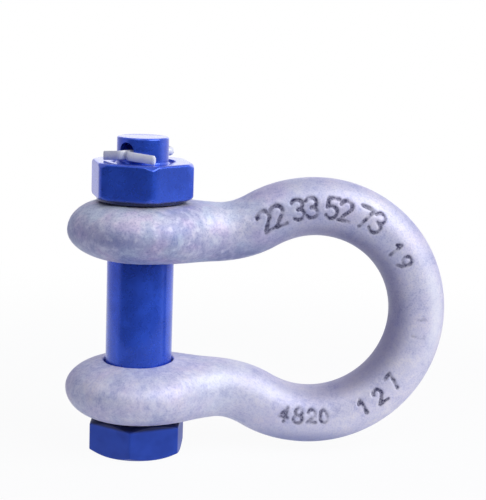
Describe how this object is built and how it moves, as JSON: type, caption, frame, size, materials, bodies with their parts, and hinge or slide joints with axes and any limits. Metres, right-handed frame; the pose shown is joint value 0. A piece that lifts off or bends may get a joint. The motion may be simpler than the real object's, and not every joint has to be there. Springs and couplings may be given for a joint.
{
  "type": "bow shackle",
  "caption": "Bolt-type bow shackle: a forged, galvanised horseshoe body with round ears, closed by a blue hex-head bolt, hex nut and split pin.",
  "frame": {"origin": "on the bolt's axis, midway between the two ears", "axes": "+Z along the bolt from its head to its nut, +X from the bolt to the crown of the bow, Y across the flat of the bow"},
  "size_m": [0.127, 0.0484, 0.1055],
  "materials": {
    "galvanised_steel": "dull hot-dip galvanised",
    "blue_paint": "satin blue paint",
    "bright_steel": "bright zinc plated"
  },
  "bodies": {
    "shackle": {"shackle_body": "galvanised_steel"},
    "bolt_set": {"bolt": "blue_paint", "hex_nut": "blue_paint", "split_pin": "bright_steel"}
  },
  "joints": [
    {"name": "bolt_spin", "type": "hinge", "parent": "shackle", "child": "bolt_set", "pos_m": [0, 0, 0], "axis": [0, 0, 1], "continuous": true}
  ]
}
